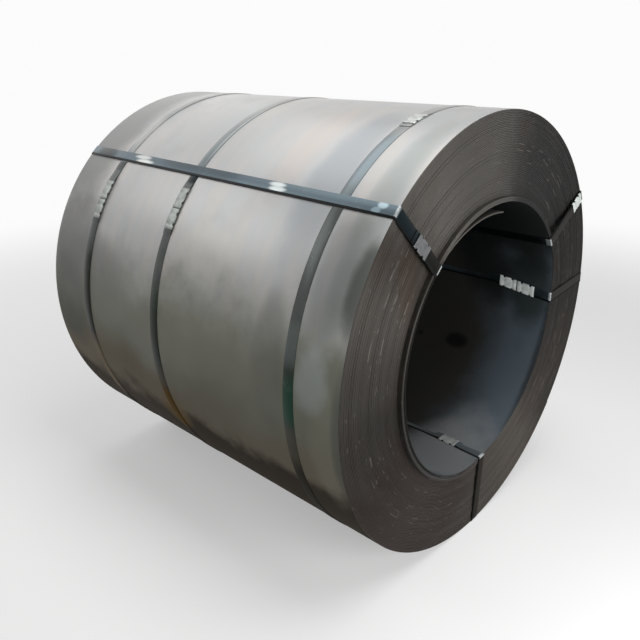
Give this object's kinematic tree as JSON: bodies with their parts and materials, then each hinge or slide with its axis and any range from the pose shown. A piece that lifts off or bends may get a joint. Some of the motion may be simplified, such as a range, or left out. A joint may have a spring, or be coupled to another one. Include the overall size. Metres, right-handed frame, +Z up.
{
  "type": "steel coil",
  "caption": "Hot-rolled steel strip wound into a coil that lies on its side, bound round its girth and through its bore with flat steel straps joined by crimped seals.",
  "frame": {"origin": "on the floor under the middle of the bound coil", "axes": "+X along the bore towards the end where the inner turns stand proud, +Z up, +Y across the coil"},
  "size_m": [1.2341, 1.2129, 1.2132],
  "materials": {
    "hot_rolled_strip": "dry mill scale, blue-grey to warm grey, with brown rust tints on the cut edges",
    "strap_steel": "blued and waxed black steel strap, semi-gloss",
    "seal_steel": "bright zinc-plated sheet, crimped"
  },
  "bodies": {
    "root": {"coil": "hot_rolled_strip", "belly_strap_1": "strap_steel", "belly_strap_2": "strap_steel", "belly_strap_3": "strap_steel", "eye_strap_1": "strap_steel", "eye_strap_2": "strap_steel", "eye_strap_3": "strap_steel", "eye_strap_4": "strap_steel", "belly_strap_1_seal_1": "seal_steel", "belly_strap_1_seal_2": "seal_steel", "belly_strap_2_seal_1": "seal_steel", "belly_strap_2_seal_2": "seal_steel", "belly_strap_3_seal": "seal_steel", "eye_strap_1_seal": "seal_steel", "eye_strap_2_seal": "seal_steel", "eye_strap_3_seal_1": "seal_steel", "eye_strap_3_seal_2": "seal_steel", "eye_strap_4_seal": "seal_steel"}
  },
  "joints": []
}
